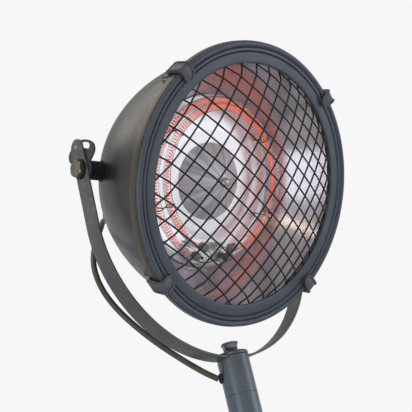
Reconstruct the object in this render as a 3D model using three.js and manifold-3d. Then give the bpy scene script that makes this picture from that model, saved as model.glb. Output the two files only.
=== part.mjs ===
// A floor-standing outdoor heater: a round head with two quartz ring lamps behind a wire grille,
// hung in a U-shaped yoke on top of a pole with a weighted round base.
// Millimetres, +Z up. The head faces -Y, and the origin is on the floor under the pole.

import * as THREE from "three";
import { mergeVertices } from "three/addons/utils/BufferGeometryUtils.js";
import Module from "manifold-3d";

const wasm = await Module();
wasm.setup();

// ---- driving dimensions ----

const GAP = 0.3; // clearance between separate pieces that rest on each other

const POLE_R = 19;
const POLE_WALL = 2;
const POLE_JOINT_Z = 720;
const LEAD_Z = 110; // where the mains lead leaves the pole, at the back
const YOKE_Z = 1400; // middle of the yoke strap where it crosses the pole

const STRAP_T = 2.5;
const STRAP_W = 22.5;
const ARM_X = 161.5; // pole axis to the middle of a yoke arm, also the radius of the yoke's bend
const FLAT_HALF = 20; // the yoke is flat this far each side of the pole axis
const PIVOT_RISE = 230; // yoke strap to the tilt axis
const PIVOT_Z = YOKE_Z + PIVOT_RISE;
const REST_TILT = 28; // degrees that the head faces down
const SLOT_UP = 38; // degrees that the head can be tipped up and down from rest, which is where
const SLOT_DOWN = 20; // the pin in the yoke meets the ends of the tilt plate's slot

const DOME_R = 154;
const DOME_DEPTH = 194;
const DOME_MOUTH = 99; // all "forward" positions are along the head's axis, from the tilt axis
const DOME_T = 1.4;
const RIM_R = 160;
const BEZEL_R = 166.5;
const OPENING_R = 141;
const FLANGE_FRONT = 109.8;
const PLATE_R = 105.5;
const PLATE_FRONT = 37;

const GRILLE_PITCH = 17.3;
const GRILLE_WIRE = 1.8;
const GRILLE_RISE = 36;
const GRILLE_ANGLE = -32.5; // degrees, one of the two wire directions
const GRILLE_RIM_BACK = 105.1;
const GRILLE_T = 1.7;
const GRILLE_DOME_R = 137.5;
const GRILLE_WIRE_END = 146;

const LAMP_TUBE_R = 4.8;
const LAMP_WALL = 1;
const FILAMENT_R = 1.9;
const OUTER_LAMP = { radius: 96, forward: 52.5, rise: 2.5, lean: -0.03 };
const INNER_LAMP = { radius: 86, forward: 60.8, rise: 4.6, lean: -0.045 };
const TUBE_HALF_GAP = 19; // degrees each side of straight down
const FILAMENT_HALF_GAP = 35;
const CAP_R = 5.4;
const CAP_LENGTH = 12;

const BOLT_R = 6;
const BOLT_FLATS = 19;
const SLOT_R = 28; // tilt slot's radius about the pivot
const PIN_R = 2.9;

const CLIP_ANGLES = { top_right: 45, top_left: 135, bottom_left: 225, bottom_right: 315 };
const CLIP_W = 16;
const HINGE_R = 168.5; // clip hinge, from the head's axis
const HINGE_FORWARD = 93.5;

const CABLE_R = 3.5;
const GROMMET_ANGLE = 150; // degrees round the pole, from +X
const GROMMET_DROP = 21; // below the yoke strap

const BASE_R = 213;
const FOOT_H = 10;

// The supply cable from the gland behind the head to the grommet in the pole:
// x, y, and height above the yoke strap. It is 7 mm thick.
const CABLE_ROUTE = [
  [0, 116.9, 292.2],
  [0, 124, 296],
  [0.1, 133, 300.6],
  [1.5, 148, 304.6],
  [4, 163.8, 301.6],
  [6.4, 176, 291],
  [6.3, 181.4, 275.5],
  [1.5, 178.6, 259],
  [-8, 168.5, 245.5],
  [-21.5, 154, 235.5],
  [-37, 137.5, 228],
  [-52, 120, 220.8],
  [-65, 105, 210.4],
  [-81.2, 94.7, 192.9],
  [-98.3, 86.9, 172.2],
  [-110.6, 79.6, 152.1],
  [-117.6, 71.7, 131.2],
  [-119.6, 63.1, 109.3],
  [-115.5, 54.6, 87.4],
  [-103.8, 46.5, 64.8],
  [-86.6, 39.2, 42.4],
  [-68.1, 32.4, 23],
  [-51.5, 25.4, 6.6],
  [-38.8, 19.3, -5.8],
  [-28.8, 14.9, -14.2],
  [-19.5, 11.3, -20.6],
];

// ---- geometry helpers ----

const radians = THREE.MathUtils.degToRad;

function polar(radius, degrees) {
  return [radius * Math.cos(radians(degrees)), radius * Math.sin(radians(degrees))];
}

function range(count) {
  return [...Array(count).keys()];
}

// A closed mesh as a manifold-3d solid.
function solid(geometry) {
  const bare = geometry.clone();
  bare.deleteAttribute("normal");
  bare.deleteAttribute("uv");
  const merged = mergeVertices(bare, 1e-4);
  const mesh = new wasm.Mesh({
    numProp: 3,
    vertProperties: new Float32Array(merged.attributes.position.array),
    triVerts: new Uint32Array(merged.index.array),
  });
  return new wasm.Manifold(mesh);
}

function fromSolid(manifold) {
  const mesh = manifold.asOriginal().simplify(0.01).getMesh();
  const geometry = new THREE.BufferGeometry();
  geometry.setAttribute("position", new THREE.BufferAttribute(mesh.vertProperties, 3));
  geometry.setIndex(new THREE.BufferAttribute(mesh.triVerts, 1));
  return geometry;
}

function join(...pieces) {
  return fromSolid(wasm.Manifold.union(pieces.map(solid)));
}

function cut(body, ...tools) {
  return fromSolid(tools.map(solid).reduce((rest, tool) => rest.subtract(tool), solid(body)));
}

function common(a, b) {
  return fromSolid(solid(a).intersect(solid(b)));
}

function signedArea(profile) {
  return profile.reduce((sum, [x, y], i) => {
    const [nextX, nextY] = profile[(i + 1) % profile.length];
    return sum + x * nextY - nextX * y;
  }, 0);
}

// A solid of revolution about Z from a profile of [radius, height] corners. The profile either
// starts and ends on the axis or is closed here.
function turned(profile, segments = 36) {
  const anticlockwise = signedArea(profile) > 0 ? profile : [...profile].reverse();
  const points = anticlockwise.map(([r, z]) => new THREE.Vector2(r, z));
  const onAxis = profile[0][0] === 0 && profile.at(-1)[0] === 0;
  if (!onAxis) points.push(points[0].clone());
  return new THREE.LatheGeometry(points, segments).rotateX(Math.PI / 2);
}

// The same about the head's axis, from a profile of [radius, forward] corners.
function spun(profile, segments = 36) {
  return turned(profile, segments).rotateX(Math.PI / 2);
}

// The closed outline of a bent sheet of the given thickness along a centre line.
function sheet(centreLine, thickness) {
  const line = centreLine.map(([x, y]) => new THREE.Vector2(x, y));
  const sides = line.map((point, i) => {
    const before = line[Math.max(i - 1, 0)];
    const after = line[Math.min(i + 1, line.length - 1)];
    const into = point.clone().sub(before).normalize();
    const out = after.clone().sub(point).normalize();
    const along = into.add(out).normalize();
    const cosine = i > 0 && i < line.length - 1 ? Math.max(along.dot(out), 0.6) : 1;
    const normal = new THREE.Vector2(-along.y, along.x).multiplyScalar(thickness / 2 / cosine);
    return [point.clone().add(normal), point.clone().sub(normal)];
  });
  const outline = [...sides.map(([left]) => left), ...sides.map(([, right]) => right).reverse()];
  return outline.map((point) => [point.x, point.y]);
}

function shapeOf(outline) {
  return new THREE.Shape(outline.map(([x, y]) => new THREE.Vector2(x, y)));
}

// A flat outline with its thickness centred on Z = 0.
function slab(shape, thickness, curveSegments = 9) {
  const options = { depth: thickness, bevelEnabled: false, curveSegments };
  return new THREE.ExtrudeGeometry(shape, options).translate(0, 0, -thickness / 2);
}

function block(x, y, z) {
  return new THREE.BoxGeometry(x, y, z);
}

// A round bar along Z that starts at z = 0.
function rod(radius, length, segments = 16) {
  return turned([[0, 0], [radius, 0], [radius, length], [0, length]], segments);
}

// A pipe along Z that starts at z = 0.
function pipe(outer, inner, length, segments = 24) {
  return turned([[inner, 0], [outer, 0], [outer, length], [inner, length]], segments);
}

function circle(radius) {
  return new THREE.Shape().absarc(0, 0, radius, 0, 2 * Math.PI);
}

// A hexagonal head that starts at z = 0 with its shank below.
function hexBolt(flats, headHeight, shankR, shankLength) {
  const corner = flats / Math.sqrt(3);
  const hexagon = shapeOf(range(6).map((i) => polar(corner, 60 * i + 30)));
  const head = slab(hexagon, headHeight).translate(0, 0, headHeight / 2);
  const shank = rod(shankR, shankLength + 1).translate(0, 0, -shankLength);
  return join(head, shank);
}

// An arc-shaped bar or slot with round ends, about the origin of the XY plane. Angles are in degrees.
function banana(radius, halfWidth, from, to, thickness) {
  const shape = new THREE.Shape();
  const [endX, endY] = polar(radius, to);
  const [startX, startY] = polar(radius, from);
  shape.absarc(0, 0, radius + halfWidth, radians(from), radians(to), false);
  shape.absarc(endX, endY, halfWidth, radians(to), radians(to + 180), false);
  shape.absarc(0, 0, radius - halfWidth, radians(to), radians(from), true);
  shape.absarc(startX, startY, halfWidth, radians(from + 180), radians(from + 360), false);
  return slab(shape, thickness, 6);
}

// A section swept along a path.
function swept(shape, path, steps, sides) {
  const options = { extrudePath: path, steps, curveSegments: sides / 2, bevelEnabled: false };
  return new THREE.ExtrudeGeometry(shape, options);
}

// Turns a piece built along +Z so that it lies along X, pointing outwards on the given side.
function outwards(geometry, side) {
  return geometry.rotateY((side * Math.PI) / 2);
}

// ---- materials ----

function finish(colour, roughness, metalness) {
  return new THREE.MeshStandardMaterial({ color: colour, roughness, metalness });
}

const satinPaint = finish(0x3f4147, 0.5, 0.3);
const domePaint = finish(0x46453f, 0.45, 0.3);
const bezelPaint = finish(0x4a4f5a, 0.5, 0.3);
const blackWire = finish(0x141416, 0.5, 0.4);
const blackRubber = finish(0x17181a, 0.75, 0);
const boltSteel = finish(0x6b6866, 0.35, 0.9);
const brightSteel = finish(0xb9bbbe, 0.3, 1);
const mirrorAluminium = finish(0xc9c4c6, 0.15, 1);
const satinAluminium = finish(0xe6e4e8, 0.35, 0.9);
const quartz = new THREE.MeshStandardMaterial({
  color: 0xf4f6f8,
  roughness: 0.05,
  metalness: 0,
  transparent: true,
  opacity: 0.35,
});
const hotWire = new THREE.MeshStandardMaterial({
  color: 0xff7a3c,
  emissive: 0xff5a20,
  roughness: 0.6,
  metalness: 0,
});
const ceramic = finish(0xdcd6cc, 0.6, 0);
const castIron = finish(0x2c2d2f, 0.8, 0.6);

// ---- assembly ----

const heater = new THREE.Group();
const head = new THREE.Group();
head.position.set(0, 0, PIVOT_Z);
head.rotation.x = radians(REST_TILT);
heater.add(head);

function place(parent, name, geometry, material) {
  const mesh = new THREE.Mesh(geometry, material);
  mesh.name = name;
  parent.add(mesh);
  return mesh;
}

// ---- base ----

function addBase() {
  const weightR = BASE_R - 11;
  const weightTop = 28;
  const boreR = POLE_R + GAP;
  const weight = turned([
    [boreR, 20],
    [34, 20],
    [34, FOOT_H + GAP],
    [weightR, FOOT_H + GAP],
    [weightR, weightTop - 8],
    [weightR - 14, weightTop],
    [boreR, weightTop],
  ]);
  place(heater, "base_weight", weight, castIron);

  const coverLine = [
    [POLE_R + 1, 34],
    [188, 32.2],
    [203, 28.5],
    [BASE_R - 3, 21],
    [BASE_R - 0.8, 12],
    [BASE_R - 0.8, 4],
  ];
  place(heater, "base_cover", turned(sheet(coverLine, 1.5)), satinPaint);

  const collar = turned([
    [POLE_R + GAP, 35.2],
    [36, 35.2],
    [36, 38],
    [26, 40],
    [24, 44],
    [24, 74],
    [23, 76],
    [POLE_R + GAP, 76],
  ], 24);
  place(heater, "base_collar", collar, satinPaint);

  const plug = pipe(POLE_R - POLE_WALL - GAP, BOLT_R + GAP, 30).translate(0, 0, 22);
  place(heater, "base_plug", plug, boltSteel);
  const washer = pipe(32, BOLT_R + GAP, 3).translate(0, 0, 16.6);
  place(heater, "base_washer", washer, boltSteel);
  const bolt = hexBolt(BOLT_FLATS, 8, BOLT_R, 34).rotateX(Math.PI).translate(0, 0, 16.2);
  place(heater, "base_bolt", bolt, boltSteel);

  for (const [i, angle] of [45, 135, 225, 315].entries()) {
    const [x, y] = polar(weightR - 32, angle);
    const foot = turned([[0, 0], [17, 0], [19, 2], [16, FOOT_H], [0, FOOT_H]], 16).translate(x, y, 0);
    place(heater, `foot_${i + 1}`, foot, blackRubber);
  }
}

// ---- pole ----

function addPole() {
  const footOfPole = 21.5;
  const lower = pipe(POLE_R, POLE_R - POLE_WALL, POLE_JOINT_Z - footOfPole).translate(0, 0, footOfPole);
  const leadHole = rod(5.6, 2 * POLE_R).rotateX(-Math.PI / 2).translate(0, 0, LEAD_Z);
  place(heater, "lower_pole", cut(lower, leadHole), satinPaint);

  const inside = [[0, 12], [5.2, 12], [5.2, POLE_R + GAP]];
  const outside = [[8.5, POLE_R + GAP], [8.5, POLE_R + 4], [6, POLE_R + 6], [4.8, POLE_R + 16]];
  const gland = turned([...inside, ...outside, [0, POLE_R + 16]], 16);
  place(heater, "lead_gland", gland.rotateX(-Math.PI / 2).translate(0, 0, LEAD_Z), blackRubber);

  const sleeve = pipe(POLE_R - POLE_WALL - GAP, POLE_R - POLE_WALL - 3.5, 120);
  sleeve.translate(0, 0, POLE_JOINT_Z - 60);
  place(heater, "pole_coupler", sleeve, boltSteel);

  const strapTop = YOKE_Z + STRAP_T / 2;
  const upperStart = POLE_JOINT_Z + GAP;
  const tube = pipe(POLE_R, POLE_R - POLE_WALL, strapTop - upperStart).translate(0, 0, upperStart);
  const notch = block(3 * POLE_R, STRAP_W + 2 * GAP, 2 * STRAP_T + 2 * GAP).translate(0, 0, strapTop);
  const cableHole = rod(4.7, 2 * POLE_R, 16).rotateY(Math.PI / 2);
  cableHole.rotateZ(radians(GROMMET_ANGLE)).translate(0, 0, YOKE_Z - GROMMET_DROP);
  place(heater, "upper_pole", cut(tube, notch, cableHole), satinPaint);

  const plugTop = YOKE_Z - STRAP_T / 2 - GAP;
  const plug = pipe(POLE_R - POLE_WALL - GAP, BOLT_R + GAP, 12).translate(0, 0, plugTop - 12);
  place(heater, "pole_plug", plug, boltSteel);

  const capBottom = strapTop + GAP;
  const cap = turned([
    [BOLT_R + GAP, capBottom],
    [POLE_R, capBottom],
    [POLE_R, capBottom + 2.8],
    [POLE_R - 1.5, capBottom + 4.4],
    [BOLT_R + GAP, capBottom + 4.4],
  ], 24);
  place(heater, "pole_cap", cap, satinPaint);

  const washerBottom = capBottom + 4.4 + GAP;
  const washer = pipe(9.3, BOLT_R + GAP, 3.4, 24).translate(0, 0, washerBottom);
  place(heater, "yoke_washer", washer, boltSteel);
  const bolt = hexBolt(BOLT_FLATS, 8, BOLT_R, 34).translate(0, 0, washerBottom + 3.4 + GAP);
  place(heater, "yoke_bolt", bolt, boltSteel);

  const grommetProfile = [[0, 11], [4.4, 11], [4.4, POLE_R], [4.4, POLE_R + GAP], [5.9, POLE_R + GAP]];
  const grommet = turned([...grommetProfile, [5.4, POLE_R + 1.6], [0, POLE_R + 1.6]], 16);
  grommet.rotateY(Math.PI / 2).rotateZ(radians(GROMMET_ANGLE)).translate(0, 0, YOKE_Z - GROMMET_DROP);
  place(heater, "pole_grommet", grommet, blackRubber);
}

// ---- yoke ----

function addYoke() {
  const armTop = PIVOT_RISE + SLOT_R + 9;
  const bendZ = Math.sqrt(ARM_X ** 2 - FLAT_HALF ** 2);
  const outline = new THREE.Shape();
  const outer = ARM_X + STRAP_T / 2;
  const inner = ARM_X - STRAP_T / 2;
  const outerEnd = Math.asin((bendZ + STRAP_T / 2) / outer);
  const innerEnd = Math.asin((bendZ - STRAP_T / 2) / inner);
  outline.moveTo(-outer, armTop + 5);
  outline.absarc(0, bendZ, outer, Math.PI, Math.PI + outerEnd, false);
  outline.absarc(0, bendZ, outer, 2 * Math.PI - outerEnd, 2 * Math.PI, false);
  outline.lineTo(outer, armTop + 5);
  outline.lineTo(inner, armTop + 5);
  outline.absarc(0, bendZ, inner, 2 * Math.PI, 2 * Math.PI - innerEnd, true);
  outline.absarc(0, bendZ, inner, Math.PI + innerEnd, Math.PI, true);
  outline.lineTo(-inner, armTop + 5);
  const bent = slab(outline, STRAP_W, 20).rotateX(Math.PI / 2);

  // Seen along X each arm ends in a half circle.
  const endR = STRAP_W / 2;
  const armFace = new THREE.Shape();
  armFace.moveTo(-endR - 1, -5);
  armFace.lineTo(endR + 1, -5);
  armFace.lineTo(endR + 1, armTop - endR);
  armFace.lineTo(endR, armTop - endR);
  armFace.absarc(0, armTop - endR, endR, 0, Math.PI, false);
  armFace.lineTo(-endR - 1, armTop - endR);
  const envelope = slab(armFace, 3 * ARM_X, 6).rotateX(Math.PI / 2).rotateZ(Math.PI / 2);

  const pivotHole = rod(BOLT_R + GAP, 3 * ARM_X).rotateY(Math.PI / 2);
  pivotHole.translate(-1.5 * ARM_X, 0, PIVOT_RISE);
  const pinHole = rod(PIN_R + GAP, 3 * ARM_X, 16).rotateY(Math.PI / 2);
  pinHole.translate(-1.5 * ARM_X, 0, PIVOT_RISE + SLOT_R);
  const poleHole = rod(BOLT_R + GAP, 20).translate(0, 0, -10);
  const strap = cut(common(bent, envelope), pivotHole, pinHole, poleHole).translate(0, 0, YOKE_Z);
  place(heater, "yoke_strap", strap, satinPaint);

  for (const [name, side] of [["right", 1], ["left", -1]]) {
    const pin = turned([[0, 0], [PIN_R, 0], [PIN_R, 9], [PIN_R - 0.8, 9.8], [0, 9.8]], 16);
    outwards(pin.translate(0, 0, ARM_X - 7.5), side).translate(0, 0, PIVOT_Z + SLOT_R);
    place(heater, `tilt_pin_${name}`, pin, boltSteel);
  }
}

// ---- head: housing and pivots ----

// Centre line of the housing's sheet, from the gland hole at the back to the rim.
function domeLine(offset = 0) {
  const radius = DOME_R + offset;
  const depth = DOME_DEPTH + offset;
  const holeR = 8;
  const start = Math.acos(holeR / radius);
  const end = Math.asin((DOME_MOUTH - 90) / depth);
  const steps = 9;
  return range(steps + 1).map((i) => {
    const angle = start + ((end - start) * i) / steps;
    return [radius * Math.cos(angle), DOME_MOUTH - depth * Math.sin(angle)];
  });
}

function addHousing() {
  const rimLine = [[156.5, 92.4], [RIM_R - 1, 94.8], [RIM_R, 97.5], [RIM_R, 103.2]];
  const shell = spun(sheet([...domeLine(), ...rimLine], DOME_T));
  const pivotBore = rod(BOLT_R + GAP, 4 * DOME_R, 16).rotateY(Math.PI / 2).translate(-2 * DOME_R, 0, 0);
  place(head, "housing_dome", cut(shell, pivotBore), domePaint);

  const gland = spun([
    [0, -132],
    [4.6, -132],
    [6.6, -106],
    [10.5, -105],
    [10.5, -100],
    [13, -99.5],
    [13, -96.4],
    [7.5, -96.4],
    [7.5, -86],
    [0, -86],
  ], 20);
  place(head, "rear_gland", gland, blackRubber);
}

// A solid that fills the housing, used to shape the pieces that stand on it.
function housingEnvelope(clearance) {
  const line = domeLine(DOME_T / 2 + clearance);
  return spun([[0, line[0][1]], ...line, [DOME_R, 95], [0, 95]]);
}

// Positions round the pivot are degrees from the head's upward direction, positive towards the front.
function pivotAngle(forwardDegrees) {
  return 90 - forwardDegrees;
}

function addPivot(name, side) {
  const strapOut = ARM_X + STRAP_T / 2;
  const washer = pipe(12, BOLT_R + GAP, 2.2, 24).translate(0, 0, strapOut + GAP);
  place(head, `pivot_washer_${name}`, outwards(washer, side), boltSteel);

  const boltEnd = 118;
  const headStart = strapOut + 2.2 + 2 * GAP;
  const bolt = hexBolt(BOLT_FLATS, 7.5, BOLT_R, headStart - boltEnd).translate(0, 0, headStart);
  place(head, `pivot_bolt_${name}`, outwards(bolt, side), boltSteel);

  // The slotted plate turns with the head, and the pin in the yoke arm runs in its slot.
  const plateT = 2.5;
  const plateX = ARM_X - STRAP_T / 2 - GAP - plateT / 2;
  const slotMargin = 1.5;
  const slotFront = pivotAngle(SLOT_UP - REST_TILT + slotMargin);
  const slotBack = pivotAngle(-REST_TILT - SLOT_DOWN - slotMargin);
  const lobes = banana(25, 9.6, pivotAngle(17), pivotAngle(-53), plateT);
  const hub = slab(circle(18), plateT);
  const slot = banana(SLOT_R, PIN_R + 0.6, slotFront, slotBack, 2 * plateT);
  const hole = slab(circle(BOLT_R + GAP), 2 * plateT);
  const plate = cut(join(hub, lobes), slot, hole);
  // The outline is drawn with +X to the front and +Y up, so it is stood up facing along X.
  plate.rotateX(Math.PI / 2).rotateZ(-Math.PI / 2).translate(side * plateX, 0, 0);
  place(head, `tilt_plate_${name}`, plate, satinPaint);

  const spacerOut = plateX - plateT / 2 - GAP;
  const spacerBlank = outwards(pipe(11.3, BOLT_R + GAP, 40).translate(0, 0, spacerOut - 40), side);
  const spacer = cut(spacerBlank, housingEnvelope(GAP));
  place(head, `pivot_spacer_${name}`, spacer, blackRubber);
}

// ---- head: bezel, grille and clips ----

function addBezel() {
  const front = FLANGE_FRONT - 0.6;
  const edge = BEZEL_R - 0.6;
  const line = [
    [OPENING_R + 0.3, front],
    [151.8, front],
    [153.4, front - 1.5],
    [156.4, front + 1.1],
    [158.8, front - 0.8],
    [161, front + 1.3],
    [164.2, front + 1.3],
    [edge, front - 1.2],
    [edge, 98],
  ];
  place(head, "front_bezel", spun(sheet(line, 1.2)), bezelPaint);
}

// A square mesh of wires, pressed into a shallow dome inside a flat rim.
// How far the grille stands forward of its rim at a distance from the head's axis.
function grilleRise(radius) {
  return GRILLE_RISE * Math.max(0, 1 - (radius / GRILLE_DOME_R) ** 2.4);
}

// One grille wire along X at y = offset, bent to the grille's dome where the wires of the other
// family cross it.
function grilleWire(offset, crossings, turn) {
  const end = Math.sqrt(GRILLE_WIRE_END ** 2 - offset ** 2);
  const foot = Math.sqrt(Math.max(0, GRILLE_DOME_R ** 2 - offset ** 2));
  const stations = [-end, end];
  for (const crossing of crossings) {
    if (Math.abs(crossing) < foot - 2) {
      stations.push(crossing - GRILLE_WIRE / 2, crossing + GRILLE_WIRE / 2);
    }
  }
  if (foot > 0) stations.push(-foot, foot);
  stations.sort((a, b) => a - b);

  const wire = new THREE.BoxGeometry(1, GRILLE_WIRE, GRILLE_T, stations.length - 1, 1, 1);
  const position = wire.getAttribute("position");
  for (let i = 0; i < position.count; i++) {
    const x = stations[Math.round((position.getX(i) + 0.5) * (stations.length - 1))];
    const y = position.getY(i) + offset;
    position.setXYZ(i, x, y, position.getZ(i) + grilleRise(Math.hypot(x, y)));
  }
  return wire.rotateZ(radians(GRILLE_ANGLE + turn));
}

function addGrille() {
  const count = Math.ceil(GRILLE_WIRE_END / GRILLE_PITCH);
  const offsetsOf = (shift) => {
    return range(2 * count + 2)
      .map((i) => (i - count - 1 + shift) * GRILLE_PITCH)
      .filter((offset) => Math.abs(offset) < GRILLE_WIRE_END - 6);
  };
  const along = offsetsOf(0.75);
  const across = offsetsOf(0.5);
  // The second family is turned a quarter, so the first one's offsets change sign along it.
  const wires = [
    ...along.map((offset) => grilleWire(offset, across.map((x) => -x), 0)),
    ...across.map((offset) => grilleWire(offset, along, 90)),
  ];
  const rim = pipe(150.3, 142, GRILLE_T, 36).translate(0, 0, -GRILLE_T / 2);
  const grille = join(rim, ...wires).translate(0, 0, GRILLE_RIM_BACK + GRILLE_T / 2);
  place(head, "wire_grille", grille.rotateX(Math.PI / 2), blackWire);
}

// Clip outlines are drawn with +X away from the head's axis and +Y forwards.
function addClip(name, angle) {
  const group = new THREE.Group();
  const [outX, outZ] = polar(1, angle);
  const outDirection = new THREE.Vector3(outX, 0, outZ);
  const forwards = new THREE.Vector3(0, -1, 0);
  const across = outDirection.clone().cross(forwards);
  group.setRotationFromMatrix(new THREE.Matrix4().makeBasis(outDirection, forwards, across));
  head.add(group);

  const leafW = 11;
  const leafT = 1.6;
  const leafLine = [[154.6, 66], [155.4, 78], [158.5, 84.5], [163.5, 89], [167.6, 92.3]];
  const knuckle = rod(2.6, leafW, 12).translate(HINGE_R, HINGE_FORWARD, -leafW / 2);
  const pin = rod(1.4, CLIP_W, 8).translate(HINGE_R, HINGE_FORWARD, -CLIP_W / 2);
  const leaf = join(slab(shapeOf(sheet(leafLine, leafT)), leafW), knuckle, pin);
  place(group, `clip_leaf_${name}`, leaf, satinPaint);

  const hookT = 1.5;
  const tipR = 152.5;
  const hookLine = [[170.2, 97], [170.2, 114.2], [168.6, 116], [166, 116.2], [tipR, 114.2]];
  const strip = slab(shapeOf(sheet(hookLine, hookT)), CLIP_W);
  const rimLine = [[171.2, 91], [171.2, 116], [169, 118], [165.8, 118.2], [tipR, 116.2]];
  const underside = [[tipR, 111.7], [165, 111.7], [167.4, 112.2], [167.4, 98], [165.9, 95], [165.9, 92.5]];
  const cheek = [[167.2, 91], ...rimLine, ...underside];
  const cheekT = 1.6;
  const cheeks = [-1, 1].map((side) => {
    return slab(shapeOf(cheek), cheekT).translate(0, 0, (side * (CLIP_W - cheekT)) / 2);
  });
  const tip = new THREE.Shape();
  const half = CLIP_W / 2;
  tip.moveTo(tipR + half, half);
  tip.absarc(tipR + half, 0, half, Math.PI / 2, 1.5 * Math.PI, false);
  tip.lineTo(BEZEL_R + 20, -half);
  tip.lineTo(BEZEL_R + 20, half);
  const tipEnvelope = slab(tip, 60, 5).rotateX(-Math.PI / 2).translate(0, 110, 0);
  const pinBore = rod(1.4 + GAP, 2 * CLIP_W, 8).translate(HINGE_R, HINGE_FORWARD, -CLIP_W);
  const hook = cut(common(join(strip, ...cheeks), tipEnvelope), pinBore);
  place(group, `clip_hook_${name}`, hook, satinPaint);
}

// ---- head: reflector and lamps ----

function addReflector() {
  const wall = [[99, 34.4], [106.8, 34.4], [146.3, 102.3], [148.6, 104.3], [161.3, 104.3]];
  place(head, "reflector_wall", spun(sheet(wall, 0.9)), mirrorAluminium);

  const plate = [
    [4, PLATE_FRONT - 1],
    [PLATE_R, PLATE_FRONT - 1],
    [PLATE_R, PLATE_FRONT],
    [4, PLATE_FRONT],
  ];
  place(head, "lamp_plate", spun(plate), satinAluminium);

  const base = PLATE_FRONT + 0.8;
  const cone = [[46.5, base], [35, base + 8.8], [24, base + 17.2], [13, base + 23.4], [4.2, base + 26.4]];
  place(head, "centre_cone", spun(sheet(cone, 0.9), 24), mirrorAluminium);

  const nutStart = base + 27.4;
  const nut = [[0, 15], [3, 15], [3, nutStart], [5.8, nutStart], [5.8, nutStart + 3], [4, nutStart + 5.6], [0, nutStart + 6.4]];
  place(head, "cone_stud", spun(nut, 16), brightSteel);

  const shield = [[0, 10.8], [112, 10.8], [118, 15], [118, 16.2], [111.6, 12], [0, 12]];
  place(head, "heat_shield", spun(shield), satinAluminium);
}

// The middle line of a ring lamp, open at the bottom, by its share from one end to the other.
class RingPath extends THREE.Curve {
  constructor(lamp, halfGap) {
    super();
    this.lamp = lamp;
    this.start = radians(halfGap - 90);
    this.sweep = 2 * Math.PI - 2 * radians(halfGap);
  }

  getPoint(t, target = new THREE.Vector3()) {
    const { radius, forward, rise, lean } = this.lamp;
    const angle = this.start + this.sweep * t;
    const up = radius * Math.sin(angle);
    return target.set(radius * Math.cos(angle), -(forward + lean * up), rise + up);
  }
}

function addLamp(name, lamp) {
  const glassPath = new RingPath(lamp, TUBE_HALF_GAP);
  const section = circle(LAMP_TUBE_R);
  section.holes.push(new THREE.Path().absarc(0, 0, LAMP_TUBE_R - LAMP_WALL, 0, 2 * Math.PI, true));
  place(head, `${name}_lamp_tube`, swept(section, glassPath, 26, 8), quartz);

  const coilPath = new RingPath(lamp, FILAMENT_HALF_GAP);
  place(head, `${name}_lamp_filament`, swept(circle(FILAMENT_R), coilPath, 24, 6), hotWire);

  for (const [end, t] of [["right", 0], ["left", 1]]) {
    const outAlong = glassPath.getTangent(t).multiplyScalar(t === 0 ? -1 : 1);
    const cap = turned([[0, 0], [CAP_R, 0], [CAP_R, CAP_LENGTH - 2], [3.5, CAP_LENGTH], [0, CAP_LENGTH]], 12);
    cap.translate(0, 0, GAP);
    const aim = new THREE.Quaternion().setFromUnitVectors(new THREE.Vector3(0, 0, 1), outAlong);
    const at = glassPath.getPoint(t);
    cap.applyQuaternion(aim).translate(at.x, at.y, at.z);
    place(head, `${name}_lamp_cap_${end}`, cap, ceramic);
  }
}

function addLampMounts() {
  const holderFront = OUTER_LAMP.forward - CAP_R - GAP;
  const holder = block(58, holderFront - PLATE_FRONT - GAP, 26);
  holder.translate(0, -(holderFront + PLATE_FRONT + GAP) / 2, -86);
  place(head, "lamp_holder", holder, brightSteel);

  // Each stand is a stepped bracket under both ring tubes.
  const step = [
    [74, PLATE_FRONT + GAP],
    [102, PLATE_FRONT + GAP],
    [102, OUTER_LAMP.forward - LAMP_TUBE_R - 2.2],
    [89, OUTER_LAMP.forward - LAMP_TUBE_R - 2.2],
    [89, INNER_LAMP.forward - LAMP_TUBE_R - 5],
    [74, INNER_LAMP.forward - LAMP_TUBE_R - 5],
  ];
  for (const [name, angle] of [["right", 30], ["left", 150]]) {
    const stand = slab(shapeOf(step), 5);
    const [outX, outZ] = polar(1, angle);
    const outDirection = new THREE.Vector3(outX, 0, outZ);
    const forwards = new THREE.Vector3(0, -1, 0);
    const across = outDirection.clone().cross(forwards);
    stand.applyMatrix4(new THREE.Matrix4().makeBasis(outDirection, forwards, across));
    place(head, `lamp_stand_${name}`, stand, brightSteel);
  }

  const terminals = join(
    block(56, 14, 22),
    ...[-18, 0, 18].map((x) => block(12, 22, 14).translate(x, 0, 0)),
  ).translate(0, 4, -40);
  place(head, "terminal_block", terminals, ceramic);
}

// ---- supply cable ----

function addCable() {
  const points = CABLE_ROUTE.map(([x, y, z]) => new THREE.Vector3(x, y, z + YOKE_Z));
  const route = new THREE.CatmullRomCurve3(points, false, "centripetal");
  place(heater, "supply_cable", swept(circle(CABLE_R), route, 38, 8), blackRubber);
}

addBase();
addPole();
addYoke();
addHousing();
addPivot("right", 1);
addPivot("left", -1);
addBezel();
addGrille();
for (const [name, angle] of Object.entries(CLIP_ANGLES)) addClip(name, angle);
addReflector();
addLamp("outer", OUTER_LAMP);
addLamp("inner", INNER_LAMP);
addLampMounts();
addCable();

export default heater;
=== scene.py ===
# A floor-standing outdoor heater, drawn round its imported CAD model.
# Lengths below are millimetres unless a name ends in _M; Blender's own data is in metres.

import math
import random

import bmesh
import bpy
from mathutils import Matrix, Vector


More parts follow.
